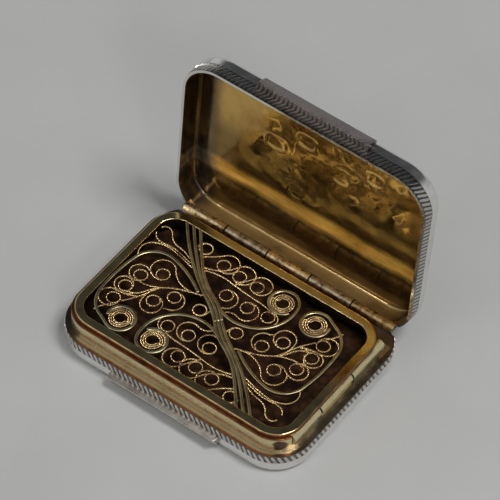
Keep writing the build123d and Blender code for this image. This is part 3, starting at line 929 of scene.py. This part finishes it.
def makeTwistedWire(name, wires):
    curve = newCurve(name)
    curve.bevel_depth = filigree["strandRadius"] * mm
    curve.bevel_resolution = 1
    tall = filigree["wireHeight"] / (2 * (filigree["strandRadius"] + filigree["strandReach"]))
    step = filigree["twistPitch"] / filigree["stepsPerTwist"]
    for wire in wires:
        path = followArcs(wire, step)
        for strand in (0, pi):
            points = []
            run = 0.0
            for k, (x, y, sideX, sideY) in enumerate(path):
                if k:
                    run += math.hypot(x - path[k - 1][0], y - path[k - 1][1])
                turn = 2 * pi * run / filigree["twistPitch"] + strand
                off = filigree["strandReach"] * cos(turn)
                points.append((x + off * sideX, y + off * sideY, filigree["strandReach"] * sin(turn)))
            addSpline(curve, points)
    piece = curveToMesh(curve, name)
    middle = frameTop - filigree["wireSink"] - filigree["wireHeight"] / 2
    piece.data.transform(Matrix.Translation((0, 0, middle * mm)) @ Matrix.Diagonal((1, 1, tall, 1)))
    smooth(piece)
    return piece


def clipToFrame(piece):  # cuts off what passes the frame's inner edge and closes the ends
    middle = Vector(((frameHigh[0] + frameLow[0]) / 2, (frameHigh[1] + frameLow[1]) / 2, 0))
    bm = bmesh.new()
    bm.from_mesh(piece.data)
    for axis, half in ((Vector((1, 0, 0)), openingHalfLength), (Vector((0, 1, 0)), openingHalfDepth)):
        for side in (1, -1):
            edge = middle + axis * side * (half + filigree["seat"]) * mm
            bmesh.ops.bisect_plane(bm, geom=bm.verts[:] + bm.edges[:] + bm.faces[:], plane_co=edge,
                                   plane_no=axis * side, clear_outer=True)
    bmesh.ops.holes_fill(bm, edges=[edge for edge in bm.edges if edge.is_boundary])
    bm.to_mesh(piece.data)
    bm.free()


upperArcs = scroll(upperScroll)
rightArcs = scroll(rightScroll)
strips = {
    "stem_centre_strip": [stem(0), halfTurned(stem(0))],
    "stem_upper_strip": [stem(1), halfTurned(stem(-1))],
    "stem_lower_strip": [stem(-1), halfTurned(stem(1))],
    "scroll_upper": [upperArcs],
    "scroll_lower": [halfTurned(upperArcs)],
    "scroll_right": [rightArcs],
    "scroll_left": [halfTurned(rightArcs)],
}
upperWires = [curl(row) for row in upperCurls] + [spine(row) for row in upperSpines]
rightWires = [curl(row) for row in rightCurls] + [spine(row) for row in rightSpines]
cornerWires = [spine(row) for row in cornerSpines]
twistedWires = {
    "coil_upper": [coil(upperScroll["eye"])],
    "coil_right": [coil(rightScroll["eye"])],
    "coil_lower": [halfTurned(coil(upperScroll["eye"]))],
    "coil_left": [halfTurned(coil(rightScroll["eye"]))],
    "curls_back": upperWires,
    "curls_right": rightWires,
    "curls_back_corner": cornerWires,
    "curls_front": [halfTurned(wire) for wire in upperWires],
    "curls_left": [halfTurned(wire) for wire in rightWires],
    "curls_front_corner": [halfTurned(wire) for wire in cornerWires],
}


def settle(piece, body, slot, finish, *replaced):
    piece.data.materials.clear()
    piece.data.materials.append(finish)
    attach(piece, body)
    if replaced:
        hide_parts(*replaced)


for nodeName, wires in strips.items():
    drop = filigree["stemDrop" if nodeName.startswith("stem") else "scrollDrop"]
    strip = makeStrip("rounded_" + nodeName, wires, drop)
    clipToFrame(strip)
    settle(strip, "grille", "gilt", stripGilt, nodeName)
for nodeName, wires in twistedWires.items():
    wire = makeTwistedWire("twisted_" + nodeName, wires)
    clipToFrame(wire)
    settle(wire, "grille", "gilt", wireGilt, nodeName)
print("filigree strips and twisted wires")


def outlinePlace(run):  # the point and outward angle at this run round the box, from the front's middle
    corner = ribs["cornerRadius"]
    straightX = halfLength - corner
    straightY = halfDepth - corner
    quarter = corner * pi / 2
    legs = [(straightX, "line"), (quarter, "arc"), (2 * straightY, "line"), (quarter, "arc"),
            (2 * straightX, "line"), (quarter, "arc"), (2 * straightY, "line"), (quarter, "arc"),
            (straightX, "line")]
    x, y, heading = 0.0, -halfDepth, 0.0
    for leg, kind in legs:
        part = min(run, leg)
        if kind == "line":
            x += part * cos(heading)
            y += part * sin(heading)
        else:
            centre = (x - corner * sin(heading), y + corner * cos(heading))
            heading += part / corner
            x = centre[0] + corner * sin(heading)
            y = centre[1] - corner * cos(heading)
        run -= part
        if run <= 0:
            break
    return x, y, heading - pi / 2


def outlineLength():
    return 4 * (halfLength + halfDepth - 2 * ribs["cornerRadius"]) + 2 * pi * ribs["cornerRadius"]


def makeRibs(name, pitch, proud, reachAt, mirrored):
    template = bmesh.new()
    bmesh.ops.create_cube(template, size=1.0)
    bmesh.ops.bevel(template, geom=template.edges[:], offset=ribs["soften"], segments=1, profile=0.5,
                    affect="EDGES", material=-1)
    ribMesh = bpy.data.meshes.new("rib")
    template.to_mesh(ribMesh)
    template.free()
    bm = bmesh.new()
    count = round(outlineLength() / pitch)
    lean = radians(ribs["slant"]) * (-1 if mirrored else 1)
    for k in range(count):
        x, y, outward = outlinePlace((k + 0.5) * outlineLength() / count)
        bottom, top = reachAt(y)
        tall = (top - bottom) / cos(lean)
        before = len(bm.verts)
        bm.from_mesh(ribMesh)
        bm.verts.ensure_lookup_table()
        size = Matrix.Diagonal((2 * proud, ribs["widthShare"] * pitch, tall, 1))
        turn = Matrix.Rotation(outward, 4, "Z") @ Matrix.Rotation(lean, 4, "X")
        spot = Matrix.Translation(Vector((x, y, (bottom + top) / 2)) * mm)
        bmesh.ops.transform(bm, matrix=spot @ turn @ Matrix.Scale(mm, 4) @ size, verts=bm.verts[before:])
    piece = meshObject(name, bm)
    smooth(piece, 20)
    return piece


def behindHinge(y):
    return y > hingePlace.y / mm - ribs["tubeReach"]


def baseReach(y):  # bottom and top of the base's ribs
    rim = ribs["backRim"] if behindHinge(y) else hingeHeight - ribs["rimEdge"]
    return ribs["baseFoot"], rim - ribs["margin"]


def lidReach(y):  # and of the closed lid's
    rim = 2 * hingeHeight - ribs["backRim"] if behindHinge(y) else hingeHeight + ribs["rimEdge"]
    return rim + ribs["margin"], ribs["lidHead"]


# The thumb lips: the cad's, with their outer edges rounded over
lip = {
    "bare": 0.45,  # edges are rounded only this far out from the band
    "soft": 0.09,
    "merge": 0.002,
    "flat": 2.0,  # faces that meet at less than this angle become one
    "sharp": 40.0,  # and edges over this one are rounded
}


def makeLip(name, nodeName, opening):
    bm = bmesh.new()
    bm.from_mesh(nodes[nodeName].data)
    bm.transform(opening.inverted() @ nodes[nodeName].matrix_world)
    bmesh.ops.remove_doubles(bm, verts=bm.verts, dist=lip["merge"] * mm)
    bmesh.ops.dissolve_limit(bm, angle_limit=radians(lip["flat"]), verts=bm.verts, edges=bm.edges)
    outer = -(halfDepth + lip["bare"]) * mm
    edges = [edge for edge in bm.edges if len(edge.link_faces) == 2
             and max(v.co.y for v in edge.verts) < outer
             and edge.calc_face_angle() > radians(lip["sharp"])]
    bmesh.ops.bevel(bm, geom=edges, offset=lip["soft"] * mm, segments=3, profile=0.5, affect="EDGES",
                    material=-1)
    bm.transform(opening)
    piece = meshObject(name, bm)
    smooth(piece, 40)
    return piece


baseRibs = makeRibs("base_milling", ribs["basePitch"], ribs["baseProud"], baseReach, False)
settle(baseRibs, "base", "silver", ribSilver)
lidRibs = makeRibs("lid_milling", ribs["lidPitch"], ribs["lidProud"], lidReach, True)
lidRibs.data.transform(openLid)
settle(lidRibs, "lid", "silver", lidRibSilver)
baseLip = makeLip("base_lip", "base_thumb_lip", Matrix.Identity(4))
settle(baseLip, "base", "silver", lipSilver, "base_thumb_lip")
lidLip = makeLip("lid_lip", "lid_thumb_lip", openLid)
settle(lidLip, "lid", "silver", lidLipSilver, "lid_thumb_lip")
print("milling on both bands and rounded lips")


# Lining of the lid: thin gilding on metal that was hammered and stamped, with blank punches
lining = {
    "inset": 0.6,
    "cellsX": 240,
    "cellsY": 176,
    "top": 0.4,  # the closed lid's top, over twice the hinge's height
    "floor": 0.39,  # height over the outside of the lid's plate
    "skin": 0.06,
    "thinnest": 0.03,
    "tallest": 0.33,
    "edge": 0.01,
    "fade": 1.4,  # the lining thins out to the edge over this width
    "waves": ((0.085, 0.035), (0.22, 0.014)),  # (waves to a mm, height) all over
    "strikes": ((0.42, 0.10), (0.85, 0.035), (1.7, 0.010)),  # and round the punches
    "strikeReach": 4.6,
    "punches": ((-6.0, -4.2, 1.35, 1.0), (-1.3, -7.3, 1.3, 1.0), (4.4, -4.6, 1.25, 1.15),
                (-2.1, 2.6, 1.0, 1.0), (9.4, -7.4, 1.2, 0.9)),  # (place, half widths)
    "punchSquareness": 3,  # 2 would be an oval
    "punchSteepness": 14,
    "punchDepth": 0.10,
    "punchBurr": 0.09,
    "burrAt": 1.12,  # in half widths of the punch
    "burrWidth": 0.16,
}


def liningHeight(x, y):
    height = lining["skin"]
    for scale, amount in lining["waves"]:
        height += amount * (1 + noise.noise(Vector((x * scale, y * scale, 3.7 + scale))))
    struck = 0.0
    for px, py, halfX, halfY in lining["punches"]:
        power = lining["punchSquareness"]
        reach = ((abs(x - px) / halfX) ** power + (abs(y - py) / halfY) ** power) ** (1 / power)
        sunk = 1 / (1 + math.exp((reach - 1) * lining["punchSteepness"]))
        burr = math.exp(-((reach - lining["burrAt"]) / lining["burrWidth"]) ** 2)
        height += lining["punchBurr"] * burr - lining["punchDepth"] * sunk
        struck = max(struck, math.exp(-((x - px) ** 2 + (y - py) ** 2) / lining["strikeReach"] ** 2))
    for scale, amount in lining["strikes"]:
        height += struck * amount * (0.8 + noise.noise(Vector((x * scale, y * scale, 8.1 + scale))))
    toEdge = min(halfLength - abs(x), halfDepth - abs(y)) - lining["inset"]
    height = min(max(height, lining["thinnest"]), lining["tallest"])
    return height * min(max(toEdge / lining["fade"], 0.0), 1.0) + lining["edge"]


def roundCorner(x, y, halfX, halfY, radius):  # maps the square corner of a grid onto a round one
    overX, overY = (abs(x) - halfX + radius) / radius, (abs(y) - halfY + radius) / radius
    if overX <= 0 or overY <= 0:
        return x, y
    newX = halfX - radius + radius * overX * math.sqrt(1 - overY * overY / 2)
    newY = halfY - radius + radius * overY * math.sqrt(1 - overX * overX / 2)
    return math.copysign(newX, x), math.copysign(newY, y)


def makeLining(name):
    halfX, halfY = halfLength - lining["inset"], halfDepth - lining["inset"]
    radius = ribs["cornerRadius"] - lining["inset"]
    bm = bmesh.new()
    bmesh.ops.create_grid(bm, x_segments=lining["cellsX"], y_segments=lining["cellsY"], size=1.0)
    for vert in bm.verts:
        x, y = roundCorner(vert.co.x * halfX, vert.co.y * halfY, halfX, halfY, radius)
        vert.co = Vector((x, y, lining["floor"] + liningHeight(x, -y)))
    skirt = bmesh.ops.extrude_edge_only(bm, edges=[edge for edge in bm.edges if edge.is_boundary])
    rim = [item for item in skirt["geom"] if isinstance(item, bmesh.types.BMVert)]
    for vert in rim:
        vert.co.z = lining["floor"]
    bmesh.ops.contextual_create(bm, geom=[edge for edge in bm.edges if edge.is_boundary])
    bmesh.ops.recalc_face_normals(bm, faces=bm.faces)
    piece = meshObject(name, bm)
    lidTop = (2 * hingeHeight + lining["top"]) * mm
    upsideDown = Matrix.Translation((0, 0, lidTop)) @ Matrix.Diagonal((1, -1, -1, 1)) @ Matrix.Scale(mm, 4)
    piece.data.transform(openLid @ upsideDown)
    smooth(piece, 40)
    return piece


settle(makeLining("lid_gilding"), "lid", "gilt", liningGilt)
print("lining of the lid")


# Sponge
spongeLook = {
    "cornerRadius": 3.5,
    "voxel": 0.42,
    "pit": 0.55,  # deepest hollow
    "pitScale": 0.75,
    "fineShare": 0.4,  # of the roughness
    "fineScale": 2.3,  # times finer than the rest
    "poreScale": 900,
    "poreDepth": 0.12,
    "stainScale": 160,
    "light": (0.060, 0.026, 0.011),
    "dark": (0.014, 0.006, 0.003),
    "roughness": 0.85,
    "sheen": 0.08,
}


def makeSponge(name):
    low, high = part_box("sponge")
    middle = (Vector(low) + Vector(high)) / 2
    size = Vector(high) - Vector(low)
    bm = bmesh.new()
    bmesh.ops.create_cube(bm, size=1.0, matrix=Matrix.Translation(middle) @ Matrix.Diagonal((*size, 1)))
    upright = [edge for edge in bm.edges if abs(edge.verts[0].co.z - edge.verts[1].co.z) > size.z / 2]
    bmesh.ops.bevel(bm, geom=upright, offset=spongeLook["cornerRadius"] * mm, segments=6, profile=0.5,
                    affect="EDGES", material=-1)
    block = meshObject(name + "Block", bm)
    remesh = block.modifiers.new("remesh", "REMESH")
    remesh.mode = "VOXEL"
    remesh.voxel_size = spongeLook["voxel"] * mm
    fine = bpy.data.meshes.new_from_object(block.evaluated_get(bpy.context.evaluated_depsgraph_get()))
    bpy.data.objects.remove(block)
    for vert in fine.vertices:
        spot = vert.co / mm * spongeLook["pitScale"]
        share = spongeLook["fineShare"]
        rough = (1 - share) * noise.noise(spot) + share * noise.noise(spot * spongeLook["fineScale"])
        pit = min(max(0.5 + rough, 0.0), 1.0) * spongeLook["pit"] * mm
        vert.co -= vert.normal * pit
    piece = newObject(name, fine)
    smooth(piece)
    return piece


spongePiece = makeSponge("scent_sponge")
settle(spongePiece, "base", "sponge", makeSpongeFinish("brownSponge", spongeLook), "sponge")
print("sponge")
